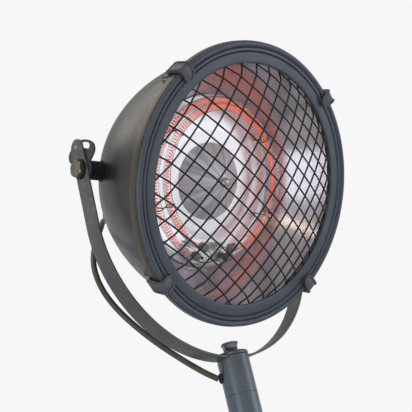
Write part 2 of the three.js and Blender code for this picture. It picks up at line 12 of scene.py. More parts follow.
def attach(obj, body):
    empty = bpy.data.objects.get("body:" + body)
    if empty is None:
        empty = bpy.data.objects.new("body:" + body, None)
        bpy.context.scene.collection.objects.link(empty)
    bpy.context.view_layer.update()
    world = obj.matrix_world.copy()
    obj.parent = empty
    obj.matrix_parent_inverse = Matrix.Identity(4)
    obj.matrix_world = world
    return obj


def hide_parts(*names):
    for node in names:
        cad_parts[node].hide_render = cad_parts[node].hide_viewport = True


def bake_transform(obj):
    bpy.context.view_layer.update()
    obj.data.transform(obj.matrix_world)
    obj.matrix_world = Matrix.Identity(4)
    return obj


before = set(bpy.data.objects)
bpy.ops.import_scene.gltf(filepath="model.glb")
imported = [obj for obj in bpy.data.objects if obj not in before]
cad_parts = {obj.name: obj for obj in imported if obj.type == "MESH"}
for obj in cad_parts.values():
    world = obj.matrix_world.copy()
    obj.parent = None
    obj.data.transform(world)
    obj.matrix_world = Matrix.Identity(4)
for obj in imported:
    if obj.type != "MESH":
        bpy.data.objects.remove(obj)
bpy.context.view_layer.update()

MM = 0.001
YOKE_Z = 1400
PIVOT_Z = 1630
HEAD = Matrix.Translation((0, 0, PIVOT_Z * MM)) @ Matrix.Rotation(math.radians(28), 4, "X")
HERE = Matrix.Identity(4)
random.seed(7)

# ---------------------------------------------------------------- camera

AZIMUTH = math.radians(-44.877)
ELEVATION = math.radians(-18.878)
ROLL = math.radians(-13.959)


def add_camera():
    back = Vector((
        math.sin(AZIMUTH) * math.cos(ELEVATION),
        -math.cos(AZIMUTH) * math.cos(ELEVATION),
        math.sin(ELEVATION),
    ))
    level = Vector((math.cos(AZIMUTH), math.sin(AZIMUTH), 0))
    upright = back.cross(level)
    right = level * math.cos(ROLL) + upright * math.sin(ROLL)
    up = -level * math.sin(ROLL) + upright * math.cos(ROLL)
    data = bpy.data.cameras.new("camera")
    data.sensor_width = 36
    data.lens = 84.05
    data.clip_start = 0.05
    camera = bpy.data.objects.new("camera", data)
    bpy.context.collection.objects.link(camera)
    turn = Matrix((right, up, back)).transposed().to_4x4()
    camera.matrix_world = Matrix.Translation((-0.7832, -0.8046, 1.2063)) @ turn
    bpy.context.scene.camera = camera


add_camera()

# ---------------------------------------------------------------- mesh helpers


def polar(radius, degrees):
    return radius * math.cos(math.radians(degrees)), radius * math.sin(math.radians(degrees))


def lerp(a, b, t):
    return a + (b - a) * t


def smoothstep(low, high, x):
    t = min(max((x - low) / (high - low), 0), 1)
    return t * t * (3 - 2 * t)


def lathe(profile, segments=128):
    """(vertices, faces) of a (radius, height) profile turned about +Z. It ends on the axis or closes."""
    verts, faces, rings = [], [], []
    for radius, height in profile:
        if radius == 0:
            rings.append([len(verts)] * segments)
            verts.append((0, 0, height))
            continue
        rings.append(range(len(verts), len(verts) + segments))
        verts += [(*polar(radius, 360 * i / segments), height) for i in range(segments)]
    open_ended = profile[0][0] == 0 and profile[-1][0] == 0
    pairs = list(zip(rings, rings[1:])) + ([] if open_ended else [(rings[-1], rings[0])])
    for a, b in pairs:
        for i in range(segments):
            j = (i + 1) % segments
            corners = dict.fromkeys((a[i], a[j], b[j], b[i]))
            if len(corners) > 2:
                faces.append(tuple(corners))
    return verts, faces


def forwards(shape):
    """A shape made about +Z, turned so that +Z is the head's forward direction."""
    verts, faces = shape
    return [(x, -z, y) for x, y, z in verts], faces


def moved(shape, matrix):
    """A shape in millimetres moved by a matrix whose translation is in millimetres too."""
    verts, faces = shape
    return [tuple(matrix @ Vector(v)) for v in verts], faces


def merged(*shapes):
    verts, faces = [], []
    for v, f in shapes:
        start = len(verts)
        verts += v
        faces += [tuple(i + start for i in face) for face in f]
    return verts, faces


def sheet(line, thickness):
    """The closed outline of a bent sheet of that thickness round a centre line of (x, y) points."""
    left, right = [], []
    for i, point in enumerate(line):
        before = Vector(line[max(i - 1, 0)])
        after = Vector(line[min(i + 1, len(line) - 1)])
        point = Vector(point)
        into = (point - before).normalized() if i else (after - point).normalized()
        out = (after - point).normalized() if i < len(line) - 1 else into
        along = (into + out).normalized()
        offset = Vector((-along.y, along.x)) * thickness / 2 / max(along.dot(out), 0.6)
        left.append(tuple(point + offset))
        right.append(tuple(point - offset))
    return left + right[::-1]


def spline(points, steps):
    """Centripetal Catmull-Rom points through the given ones, with that many steps between neighbours."""
    points = [Vector(p) for p in points]
    ends = [points[0] * 2 - points[1], *points, points[-1] * 2 - points[-2]]
    made = []
    for i in range(1, len(ends) - 2):
        quad = ends[i - 1:i + 3]
        knots = [0.0]
        for a, b in zip(quad, quad[1:]):
            knots.append(knots[-1] + max((b - a).length, 1e-6) ** 0.5)
        for step in range(steps):
            t = lerp(knots[1], knots[2], step / steps)
            a1, a2, a3 = (
                quad[k] * ((knots[k + 1] - t) / (knots[k + 1] - knots[k]))
                + quad[k + 1] * ((t - knots[k]) / (knots[k + 1] - knots[k]))
                for k in range(3)
            )
            b1 = a1 * ((knots[2] - t) / (knots[2] - knots[0])) + a2 * ((t - knots[0]) / (knots[2] - knots[0]))
            b2 = a2 * ((knots[3] - t) / (knots[3] - knots[1])) + a3 * ((t - knots[1]) / (knots[3] - knots[1]))
            share = (t - knots[1]) / (knots[2] - knots[1])
            made.append(b1 * ((knots[2] - t) / (knots[2] - knots[1])) + b2 * share)
    return made + [points[-1]]


def frames_along(path, closed=False, first_side=None):
    """(side, other side) unit vectors at each point of a path, turning as little as possible."""
    count = len(path)
    tangents = []
    for i in range(count):
        after = path[(i + 1) % count] if closed or i < count - 1 else path[i]
        before = path[i - 1] if closed or i else path[i]
        tangents.append((after - before).normalized())
    side = Vector(first_side) if first_side else tangents[0].orthogonal()
    frames = []
    for tangent in tangents:
        side = (side - tangent * side.dot(tangent)).normalized()
        frames.append((side, tangent.cross(side)))
    return frames


def sweep(path, section, closed=False, first_side=None, scale=None):
    """(vertices, faces) of a closed (x, y) section swept along a path; scale gives factors by index."""
    path = [Vector(p) for p in path]
    verts, faces = [], []
    n = len(section)
    for i, (point, (side, other)) in enumerate(zip(path, frames_along(path, closed, first_side))):
        sx, sy = scale(i) if scale else (1, 1)
        verts += [tuple(point + side * (x * sx) + other * (y * sy)) for x, y in section]
    rows = len(path)
    for i in range(rows if closed else rows - 1):
        for k in range(n):
            a, b = i * n + k, i * n + (k + 1) % n
            c, d = ((i + 1) % rows) * n + (k + 1) % n, ((i + 1) % rows) * n + k
            faces.append((a, b, c, d))
    if not closed:
        faces += [tuple(range(n))[::-1], tuple(range((rows - 1) * n, rows * n))]
    return verts, faces


def ring(radius, sides):
    return [polar(radius, 360 * i / sides) for i in range(sides)]


def rounded_rect(width, height, radius, steps=3):
    points = []
    for cx, cy, start in ((1, 1, 0), (-1, 1, 90), (-1, -1, 180), (1, -1, 270)):
        for i in range(steps + 1):
            x, y = polar(radius, start + 90 * i / steps)
            points.append((cx * (width / 2 - radius) + x, cy * (height / 2 - radius) + y))
    return points


def prism(outlines, thickness, bevel=0.25):
    """(vertices, faces) of flat outlines, the first outside, the rest holes, round-edged, about z = 0."""
    curve = bpy.data.curves.new("prism", "CURVE")
    curve.dimensions = "2D"
    curve.fill_mode = "BOTH"
    curve.extrude = thickness / 2 - bevel
    curve.bevel_depth = bevel
    curve.bevel_resolution = 2
    curve.offset = -bevel
    for outline in outlines:
        line = curve.splines.new("POLY")
        line.points.add(len(outline) - 1)
        for point, (x, y) in zip(line.points, outline):
            point.co = (x, y, 0, 1)
        line.use_cyclic_u = True
    holder = bpy.data.objects.new("prism", curve)
    bpy.context.collection.objects.link(holder)
    bpy.context.view_layer.update()
    evaluated = holder.evaluated_get(bpy.context.evaluated_depsgraph_get())
    mesh = evaluated.to_mesh()
    work = bmesh.new()
    work.from_mesh(mesh)
    bmesh.ops.remove_doubles(work, verts=work.verts, dist=1e-3)
    work.verts.index_update()
    shape = [tuple(v.co) for v in work.verts], [tuple(v.index for v in f.verts) for f in work.faces]
    work.free()
    evaluated.to_mesh_clear()
    bpy.data.objects.remove(holder)
    bpy.data.curves.remove(curve)
    return shape


def piece(name, shape, place, material, body, replaces=(), sharp=32):
    verts, faces = shape
    mesh = bpy.data.meshes.new(name)
    mesh.from_pydata([(x * MM, y * MM, z * MM) for x, y, z in verts], [], faces)
    work = bmesh.new()
    work.from_mesh(mesh)
    bmesh.ops.recalc_face_normals(work, faces=work.faces)
    work.to_mesh(mesh)
    work.free()
    mesh.polygons.foreach_set("use_smooth", [True] * len(mesh.polygons))
    mesh.set_sharp_from_angle(angle=math.radians(sharp))
    mesh.materials.append(material)
    obj = bpy.data.objects.new(name, mesh)
    bpy.context.collection.objects.link(obj)
    obj.matrix_world = place
    if body:
        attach(obj, body)
    if replaces:
        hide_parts(*replaces)
    return obj


def cut(obj, *shapes):
    """Cuts holes through a piece with closed shapes that are given in the piece's own frame."""
    for i, (verts, faces) in enumerate(shapes):
        mesh = bpy.data.meshes.new("cutter")
        mesh.from_pydata([(x * MM, y * MM, z * MM) for x, y, z in verts], [], faces)
        tool = bpy.data.objects.new("cutter", mesh)
        bpy.context.collection.objects.link(tool)
        tool.matrix_world = obj.matrix_world
        work = bmesh.new()
        work.from_mesh(mesh)
        bmesh.ops.recalc_face_normals(work, faces=work.faces)
        work.to_mesh(mesh)
        work.free()
        modifier = obj.modifiers.new(f"cut_{i}", "BOOLEAN")
        modifier.operation = "DIFFERENCE"
        modifier.solver = "EXACT"
        modifier.object = tool
        bpy.context.view_layer.update()
        evaluated = obj.evaluated_get(bpy.context.evaluated_depsgraph_get())
        made = bpy.data.meshes.new_from_object(evaluated)
        obj.modifiers.clear()
        obj.data = made
        bpy.data.objects.remove(tool)
    made.polygons.foreach_set("use_smooth", [True] * len(made.polygons))
    made.set_sharp_from_angle(angle=math.radians(32))
    return obj


# ---------------------------------------------------------------- materials


def linear(hexadecimal):
    channels = [int(hexadecimal[i:i + 2], 16) / 255 for i in (0, 2, 4)]
    return [c / 12.92 if c <= 0.04045 else ((c + 0.055) / 1.055) ** 2.4 for c in channels]


class Nodes:
    """A short way to build one material's node tree."""

    def __init__(self, name):
        self.material = bpy.data.materials.new(name)
        self.material.use_nodes = True
        self.tree = self.material.node_tree
        self.shader = self.tree.nodes["Principled BSDF"]
        self.coords = self.add("ShaderNodeTexCoord").outputs["Object"]

    def add(self, kind, links=(), **values):
        node = self.tree.nodes.new(kind)
        for key, value in values.items():
            setattr(node, key, value)
        for socket, source in dict(links).items():
            self.put(node.inputs[socket], source)
        return node

    def put(self, socket, source):
        if isinstance(source, bpy.types.NodeSocket):
            self.tree.links.new(source, socket)
        else:
            socket.default_value = source

    def set(self, **sockets):
        for name, source in sockets.items():
            self.put(self.shader.inputs[name.replace("_", " ")], source)

    def noise(self, scale, detail=3, roughness=0.5, vector=None):
        links = {"Vector": vector or self.coords, "Scale": scale, "Detail": detail, "Roughness": roughness}
        return self.add("ShaderNodeTexNoise", links).outputs["Fac"]

    def span(self, source, low, high, out_low, out_high):
        links = {"Value": source, "From Min": low, "From Max": high, "To Min": out_low, "To Max": out_high}
        return self.add("ShaderNodeMapRange", links).outputs["Result"]

    def mix(self, factor, a, b):
        node = self.add("ShaderNodeMix", data_type="RGBA")
        for index, source in ((0, factor), (6, a), (7, b)):
            self.put(node.inputs[index], source)
        return node.outputs[2]

    def math(self, operation, a, b=0.0):
        return self.add("ShaderNodeMath", {0: a, 1: b}, operation=operation).outputs[0]

    def bump(self, height, strength, distance, normal=None):
        links = {"Height": height, "Strength": strength, "Distance": distance}
        if normal:
            links["Normal"] = normal
        return self.add("ShaderNodeBump", links).outputs["Normal"]


def rgba(colour, factor=1.0):
    return [min(c * factor, 1) for c in linear(colour)] + [1]


def coated(name, colour, rough=0.45, metal=0.0, grain=0.12, texture=0.06, worn="8a8a8a", wear=0.35,
           specular=0.5, coat=0.0):
    """Powder-coated or painted metal: cloudy tone, fine orange-peel texture, smudges, worn edges."""
    n = Nodes(name)
    cloud = n.noise(22, 4, 0.6)
    speck = n.noise(900, 2, 0.5)
    tone = n.mix(n.span(cloud, 0.3, 0.7, 0, 1), rgba(colour, 1 - grain), rgba(colour, 1 + grain))
    tone = n.mix(n.span(speck, 0.58, 0.75, 0, 0.25), tone, rgba(colour, 1.7))
    edge = n.add("ShaderNodeNewGeometry").outputs["Pointiness"]
    scuffs = n.noise(140, 3, 0.7)
    bare = n.math("MULTIPLY", n.span(edge, 0.53, 0.6, 0, 1), n.span(scuffs, 0.42, 0.62, 0, wear))
    tone = n.mix(bare, tone, rgba(worn))
    smudge = n.noise(38, 5, 0.65)
    n.set(
        Base_Color=tone,
        Roughness=n.span(smudge, 0.3, 0.7, rough - 0.06, rough + 0.08),
        Metallic=metal,
        Specular_IOR_Level=specular,
        Coat_Weight=coat,
        Coat_Roughness=0.3,
    )
    fine = n.bump(n.noise(1400, 2, 0.5), texture, 0.0004)
    n.set(Normal=n.bump(n.noise(160, 3, 0.5), texture * 0.8, 0.0006, fine))
    return n.material


def spun_metal(name, colour, rough, anisotropic, streak=0.25, ripple=0.12, painted_glow_tint=None, metal=1.0, painted_fan_shade=0.0):
    """Aluminium spun on a lathe: fine rings about the head's axis and a reflection that fans out.

    The last argument paints shade into the colour in dark rays from the axis: a painted reflection of light
    fanning over the turning marks of a cone.
    """
    n = Nodes(name)
    parts = n.add("ShaderNodeSeparateXYZ", {0: n.coords})
    x, z = parts.outputs["X"], parts.outputs["Z"]
    radius = n.math("SQRT", n.math("ADD", n.math("MULTIPLY", x, x), n.math("MULTIPLY", z, z)))
    rings = n.add("ShaderNodeCombineXYZ",
                  {"X": radius, "Y": n.math("MULTIPLY", parts.outputs["Y"], 0.6)}).outputs[0]
    marks = n.noise(1500, 4, 0.7, rings)
    broad = n.noise(160, 3, 0.6, rings)
    stain_and_glow_tint = n.noise(26, 5, 0.65)
    tone = n.mix(n.span(marks, 0.3, 0.7, 0, streak), rgba(colour), rgba(colour, 0.72))
    # Darker stains in cloudy patches; where a tint is given, as on the reflector, the patches take a pink
    # that paints the hot coils' glow reflected in the aluminium.
    tone = n.mix(n.span(stain_and_glow_tint, 0.45, 0.75, 0, 0.3), tone, rgba(painted_glow_tint or colour, 0.9))
    # Painted reflection: dark rays from the axis mixed into the base colour.
    if painted_fan_shade:
        across = n.math("DIVIDE", x, n.math("ADD", radius, 1e-4))
        upward = n.math("DIVIDE", z, n.math("ADD", radius, 1e-4))
        rays = n.add("ShaderNodeCombineXYZ", {"X": across, "Y": upward}).outputs[0]
        tone = n.mix(n.span(n.noise(2.6, 4, 0.62, rays), 0.36, 0.6, painted_fan_shade, 0), tone, rgba(colour, 0.3))
    n.set(
        Base_Color=tone,
        Metallic=metal,
        Roughness=n.span(broad, 0.3, 0.7, rough - 0.04, rough + 0.07),
        Anisotropic=anisotropic,
        Tangent=n.add("ShaderNodeTangent", direction_type="RADIAL", axis="Y").outputs[0],
    )
    n.set(Normal=n.bump(n.math("ADD", marks, n.math("MULTIPLY", broad, 2.0)), ripple, 0.0003))
    return n.material


def steel(name, colour, rough=0.32, wear=0.3):
    """Plated steel with fine machining marks, a darker bloom and small scratches."""
    n = Nodes(name)
    bloom = n.noise(90, 5, 0.65)
    lines = n.add("ShaderNodeMapping", {"Vector": n.coords, "Scale": (900, 900, 90)}).outputs[0]
    marks = n.noise(1.0, 3, 0.6, lines)
    tone = n.mix(n.span(bloom, 0.35, 0.7, 0, 1), rgba(colour), rgba(colour, 1 - wear))
    n.set(Base_Color=tone, Metallic=0.9, Roughness=n.span(marks, 0.3, 0.7, rough - 0.05, rough + 0.12))
    n.set(Normal=n.bump(marks, 0.1, 0.0002))
    return n.material


def rubber(name, colour, rough=0.62):
    """Moulded rubber: matt, faintly pitted, greyer where it is dusty on top."""
    n = Nodes(name)
    dust = n.noise(60, 5, 0.7)
    tone = n.mix(n.span(dust, 0.4, 0.75, 0, 0.5), rgba(colour), rgba(colour, 2.0))
    n.set(Base_Color=tone, Roughness=n.span(dust, 0.3, 0.7, rough - 0.08, rough + 0.1),
          Specular_IOR_Level=0.4)
    n.set(Normal=n.bump(n.noise(1100, 3, 0.6), 0.12, 0.0003))
    return n.material


def ceramic(name, colour):
    n = Nodes(name)
    grime = n.noise(220, 4, 0.7)
    tone = n.mix(n.span(grime, 0.35, 0.7, 0, 0.7), rgba(colour), rgba(colour, 0.55))
    n.set(Base_Color=tone, Roughness=n.span(grime, 0.3, 0.7, 0.5, 0.75))
    n.set(Normal=n.bump(n.noise(900, 3, 0.6), 0.15, 0.0003))
    return n.material


def quartz_glass(name):
    n = Nodes(name)
    n.set(Base_Color=rgba("fdfdff"), Transmission_Weight=1.0, IOR=1.25)
    n.set(Roughness=n.span(n.noise(120, 3, 0.6), 0.4, 0.75, 0.015, 0.07))
    n.set(Normal=n.bump(n.noise(90, 2, 0.5), 0.04, 0.0006))
    return n.material


def glowing(name, low, high, strength):
    n = Nodes(name)
    heat = n.noise(45, 3, 0.6)
    tone = n.mix(n.span(heat, 0.35, 0.68, 0, 1), rgba(low), rgba(high))
    n.set(Base_Color=tone, Roughness=0.6, Emission_Color=tone, Emission_Strength=strength)
    n.set(Normal=n.bump(n.noise(2500, 2, 0.5), 0.2, 0.0001))
    return n.material


DOME_PAINT = coated("dome_paint", "1f1e1b", rough=0.36, texture=0.04, worn="8c8778", wear=0.2, specular=0.6)
# Olive: the housing rim band's colour, and on the bezel skirt a painted reflection of warm surroundings over
# the bezel's slate paint.
RIM_PAINT_AND_SKIRT_REFLECTION = coated("rim_paint_and_skirt_reflection", "3b3527", rough=0.38, texture=0.05, worn="8c8468", wear=0.3)
BEZEL_PAINT = coated("bezel_paint", "3c434f", rough=0.42, texture=0.06, worn="8d939c", wear=0.25)
STRAP_PAINT = coated("strap_paint", "4c4c4b", rough=0.36, texture=0.05, worn="8f8f8f", wear=0.3)
CLIP_PAINT = coated("clip_paint", "43464c", rough=0.42, texture=0.06, worn="9a968a", wear=0.45)
POLE_PAINT = coated("pole_paint", "565c63", rough=0.3, texture=0.04, worn="9da4ab", wear=0.25, metal=0.6)
PLATE_PAINT = coated("tilt_plate_paint", "35363a", rough=0.42, texture=0.05, worn="8c8c90", wear=0.4)
GRILLE_PAINT = coated("grille_paint", "08080a", rough=0.5, texture=0.05, worn="3a3a3c", wear=0.2)
BASE_PAINT = coated("base_paint", "3a3d42", rough=0.45, texture=0.08, worn="8a8d92", wear=0.25)
# The pink tint paints the reflected glow of the hot coils.
REFLECTOR = spun_metal("reflector_aluminium", "d2cbd1", 0.17, 0.2, ripple=0.1, painted_glow_tint="c0a4a8", metal=0.7)
PLATE_METAL = spun_metal("lamp_plate_aluminium", "f6f3f6", 0.3, 0.3, streak=0.15, metal=0.85)
# The centre cone's dark rays from the axis are painted reflection.
CONE_METAL = spun_metal("cone_aluminium", "f0eff6", 0.2, 0.7, painted_fan_shade=0.7, metal=0.15)
BOLT_STEEL = steel("bolt_steel", "8a8178")
BRIGHT_STEEL = steel("bright_steel", "c6c8cb", rough=0.22)
DARK_STEEL = steel("lamp_wire", "2b2a2b", rough=0.4)
BLACK_RUBBER = rubber("black_rubber", "1a1b1e")
CABLE_RUBBER = rubber("cable_rubber", "454338", rough=0.42)
CAP_CERAMIC = ceramic("cap_ceramic", "8f8a87")
BLOCK_CERAMIC = ceramic("block_ceramic", "dcd6cc")
CAST_IRON = coated("cast_iron", "2c2d2f", rough=0.7, texture=0.4, wear=0.1)
QUARTZ = quartz_glass("quartz")
HOT_COIL = glowing("hot_coil", "ff5c30", "ff9468", 0.42)

# ---------------------------------------------------------------- supply cable

CABLE_D = 7
CABLE_ROUTE = [
    (0, 116.9, 292.2),
    (0, 124, 296),
    (0.1, 133, 300.6),
    (1.5, 148, 304.6),
    (4, 163.8, 301.6),
    (6.4, 176, 291),
    (6.3, 181.4, 275.5),
    (1.5, 178.6, 259),
    (-8, 168.5, 245.5),
    (-21.5, 154, 235.5),
    (-37, 137.5, 228),
    (-52, 120, 220.8),
    (-65, 105, 210.4),
    (-81.2, 94.7, 192.9),
    (-98.3, 86.9, 172.2),
    (-110.6, 79.6, 152.1),
    (-117.6, 71.7, 131.2),
    (-119.6, 63.1, 109.3),
    (-115.5, 54.6, 87.4),
    (-103.8, 46.5, 64.8),
    (-86.6, 39.2, 42.4),
    (-68.1, 32.4, 23),
    (-51.5, 25.4, 6.6),
    (-38.8, 19.3, -5.8),
    (-28.8, 14.9, -14.2),
    (-19.5, 11.3, -20.6),
]


def relaxed(path, rounds):
    """Evens out the small kinks of a route, keeping its ends and the directions it leaves and arrives in."""
    for _ in range(rounds):
        path = path[:2] + [
            (path[i - 1] + path[i] * 2 + path[i + 1]) / 4 for i in range(2, len(path) - 2)
        ] + path[-2:]
    return path


def add_cable():
    route = [(x, y, z + YOKE_Z) for x, y, z in CABLE_ROUTE]
    path = relaxed(spline(route, 6), 24)
    cable = piece("supply_cable_lead", sweep(path, ring(CABLE_D / 2, 20)), HERE, CABLE_RUBBER, None,
                  ["supply_cable"], sharp=60)
    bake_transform(cable)


add_cable()

# ---------------------------------------------------------------- base and pole



def add_base():
    cover = [
        (19.6, 34.6), (60, 34.1), (120, 33.6), (175, 32.9), (188, 32.2), (197, 30.4), (203.5, 27.4),
        (208, 23.4), (210.8, 18.6), (212, 12), (212.1, 4),
    ]
    cover = [tuple(p) for p in spline([(x, y, 0) for x, y in cover], 4)]
    line = [(x, y) for x, y, _ in cover]
    shape = lathe(sheet(line, 1.5), 192)
    piece("base_cover_skin", shape, HERE, BASE_PAINT, "stand", ["base_cover"])
    collar = [
        (19.3, 35.4), (35.2, 35.4), (36, 36.2), (36, 37.4), (35, 38.4), (30, 39), (27, 40.4), (25, 42.6),
        (24.2, 45.6),
        (24, 50), (24, 73.4), (23.4, 75.4), (22.2, 76.4), (19.3, 76.4),
    ]
    piece("base_collar_turned", lathe(collar, 128), HERE, POLE_PAINT, "stand",
          ["base_collar"])
    for i, angle in enumerate((45, 135, 225, 315)):
        x, y = polar(170, angle)
        foot = [(0, 0), (15.5, 0), (17, 0.5), (18.4, 1.6), (19, 3), (18.4, 5), (16.5, 9), (16, 10), (0, 10)]
        shape = moved(lathe(foot, 48), Matrix.Translation((x, y, 0)))
        piece(f"rubber_foot_{i + 1}", shape, HERE, BLACK_RUBBER, "stand", [f"foot_{i + 1}"])
    inside = [(0, 12), (5.1, 12), (5.1, 19.4), (8.5, 19.4)]
    outside = [(8.5, 22.4), (8, 23), (6.6, 23.4), (6.3, 25), (6.5, 25.6), (6, 27), (5.6, 27.4), (5.8, 29),
               (5.2, 30.6),
               (5.1, 31.4), (5.2, 33), (4.6, 34.8), (0, 34.8)]
    gland = moved(lathe(inside + outside, 48),
                  Matrix.Translation((0, 0, 110)) @ Matrix.Rotation(math.radians(-90), 4, "X"))
    piece("mains_gland", gland, HERE, BLACK_RUBBER, "stand", ["lead_gland"])


def add_pole():
    lower = [(17, 21.5), (19, 21.5), (19, 718.8), (18.4, 719.7), (17, 719.8)]
    piece("lower_pole_tube", lathe(lower, 128), HERE, POLE_PAINT, "stand", ["lower_pole"])
    groove = YOKE_Z - 44
    upper = [
        (17, 720.4), (18.4, 720.4), (19, 721.4), (19, 900), (19, 1200), (19, groove - 3), (19, groove - 0.5),
        (18.6, groove - 0.3), (18.6, groove + 0.3), (19, groove + 0.5), (19, groove + 3), (19, YOKE_Z - 3),
        (19, YOKE_Z + 0.5), (18.4, YOKE_Z + 1.2), (17, YOKE_Z + 1.2),
    ]
    tube = piece("upper_pole_tube", lathe(upper, 128), HERE, POLE_PAINT, "stand",
                 ["upper_pole"])
    notch = prism([[(-30, -11.55), (30, -11.55), (30, 11.55), (-30, 11.55)]], 8, 0.1)
    hole = moved(lathe([(0, 0), (4.7, 0), (4.7, 40), (0, 40)], 32), grommet_place())
    cut(tube, moved(notch, Matrix.Translation((0, 0, YOKE_Z + 2.4))), hole)

    cap = [(6.3, 1.6), (18.6, 1.6), (19, 2), (19, 4.2), (18.7, 5), (18.1, 5.6), (17.2, 5.9), (6.3, 5.9)]
    cap = moved(lathe(cap, 128), Matrix.Translation((0, 0, YOKE_Z)))
    piece("pole_cap_disc", cap, HERE, POLE_PAINT, "stand", ["pole_cap"])
    washer = [(6.3, 6.3), (8.6, 6.3), (9, 6.8), (8.4, 7.6), (8.1, 8.6), (8.3, 9.2), (8.9, 9.7), (6.3, 9.7)]
    washer = moved(lathe(washer, 64), Matrix.Translation((0, 0, YOKE_Z)))
    piece("yoke_washer_turned", washer, HERE, BOLT_STEEL, "stand", ["yoke_washer"])
    bolt = moved(hex_bolt(8, 34, foot=0.78), Matrix.Translation((0, 0, YOKE_Z + 10)))
    piece("yoke_bolt_hex", bolt, HERE, POLE_PAINT, "stand", ["yoke_bolt"], sharp=25)

    bush = [
        (3.6, 12), (4.4, 12), (4.5, 19.1), (5.8, 19.3), (6.1, 19.8), (5.9, 20.5), (5.2, 21), (4.3, 21.2),
        (3.7, 20.8),
    ]
    bush = moved(lathe(bush, 48), grommet_place())
    piece("pole_grommet_moulded", bush, HERE, BLACK_RUBBER, "stand", ["pole_grommet"])


def grommet_place():
    turn = Matrix.Rotation(math.radians(150), 4, "Z") @ Matrix.Rotation(math.radians(90), 4, "Y")
    return Matrix.Translation((0, 0, YOKE_Z - 21)) @ turn


def hex_bolt(height, shank, flats=19.0, shank_r=6.0, foot=1.0):
    """A hexagon head with a chamfered top, from z = 0 up, and its shank below. foot narrows its underside."""
    samples = 120
    verts, faces = [], []
    levels = [
        (0, 0.97 * foot), (0.35, foot), (height * 0.3, lerp(foot, 1, 0.25)),
        (height - 2.4, lerp(foot, 1, 0.7)),
        (height - 1.9, 1), (height - 1.2, 0.985), (height - 0.5, 0.93), (height, 0.86),
    ]
    corner = flats / math.sqrt(3)
    for z, share in levels:
        for i in range(samples):
            angle = 360 * i / samples
            flat = flats / 2 / math.cos(math.radians((angle % 60) - 30))
            narrow = share if z < height - 1.9 else 1
            verts.append((*polar(min(flat * narrow, corner * share), angle), z))
    rows = len(levels)
    for row in range(rows - 1):
        for i in range(samples):
            j = (i + 1) % samples
            faces.append((row * samples + i, row * samples + j, (row + 1) * samples + j,
                          (row + 1) * samples + i))
    top = (rows - 1) * samples
    verts.append((0, 0, height - 0.25))
    centre = len(verts) - 1
    faces += [(top + i, top + (i + 1) % samples, centre) for i in range(samples)]
    faces.append(tuple(range(samples))[::-1])
    return merged((verts, faces),
                  lathe([(0, -shank), (shank_r - 0.8, -shank), (shank_r, -shank + 0.8), (shank_r, 0.1),
                         (0, 0.1)], 32))


add_base()
add_pole()

# ---------------------------------------------------------------- yoke

ARM_X = 161.5
STRAP_T = 2.5
STRAP_W = 22.5
FLAT_HALF = 20
ARM_TOP = 267
SLOT_R = 28
PIN_HOLE_R = 3.3  # holes drilled through both arms of the yoke
BOLT_HOLE_R = 6.4


def add_yoke():
    bend_z = math.sqrt(ARM_X ** 2 - FLAT_HALF ** 2)
    rounding = [ARM_TOP - STRAP_W / 2 * (1 - math.cos(math.radians(a))) for a in range(8, 91, 6)]
    path = [(-ARM_X, z) for z in (ARM_TOP, *rounding)]
    path += [(-ARM_X, lerp(250, bend_z + 4, i / 8)) for i in range(9)]
    start = math.degrees(math.asin(bend_z / ARM_X))
    path += [(polar(ARM_X, 180 + start * i / 60)[0],
              bend_z + polar(ARM_X, 180 + start * i / 60)[1]) for i in range(60)]
    path.append((-FLAT_HALF, 0))
    path += [(-x, z) for x, z in path[::-1]]
    points = [Vector((x, 0, z + YOKE_Z)) for x, z in path]
    half = STRAP_W / 2

    def narrowing(i):
        depth = ARM_TOP - path[i][1]
        if depth >= half:
            return 1, 1
        return max(math.sqrt(max(half ** 2 - (half - depth) ** 2, 0)) / half, 0.04), 1

    shape = sweep(points, rounded_rect(STRAP_W, STRAP_T, 0.6), first_side=(0, 1, 0), scale=narrowing)
    strap = piece("yoke_strap_bent", shape, HERE, STRAP_PAINT, "stand", ["yoke_strap"])
    for radius, height in ((PIN_HOLE_R, PIVOT_Z + SLOT_R), (BOLT_HOLE_R, PIVOT_Z)):
        drill = lathe([(0, -200), (radius, -200), (radius, 200), (0, 200)], 48)
        across = Matrix.Translation((0, 0, height)) @ Matrix.Rotation(math.radians(90), 4, "Y")
        cut(strap, moved(drill, across))

    pin = [(0, -7.5), (2.8, -7.5), (2.8, 1.2), (2.6, 1.6), (2.1, 1.7), (1.7, 1.4), (1.4, 0), (0, -0.1)]
    for name, side in (("right", 1), ("left", -1)):
        turn = Matrix.Rotation(math.radians(90 * side), 4, "Y")
        place = Matrix.Translation((0, 0, PIVOT_Z + SLOT_R)) @ turn @ Matrix.Translation((0, 0, ARM_X))
        piece(f"tilt_pin_{name}_turned", moved(lathe(pin, 40), place), HERE, BRIGHT_STEEL, "stand",
              [f"tilt_pin_{name}"])


add_yoke()

# ---------------------------------------------------------------- housing and pivots

DOME_R = 154
DOME_DEPTH = 194
DOME_MOUTH = 99


def dome_line(steps, hole=8):
    start = math.degrees(math.acos(hole / DOME_R))
    end = math.degrees(math.asin((DOME_MOUTH - 92) / DOME_DEPTH))
    line = []
    for i in range(steps + 1):
        angle = math.radians(lerp(start, end, i / steps))
        line.append((DOME_R * math.cos(angle), DOME_MOUTH - DOME_DEPTH * math.sin(angle)))
    return line


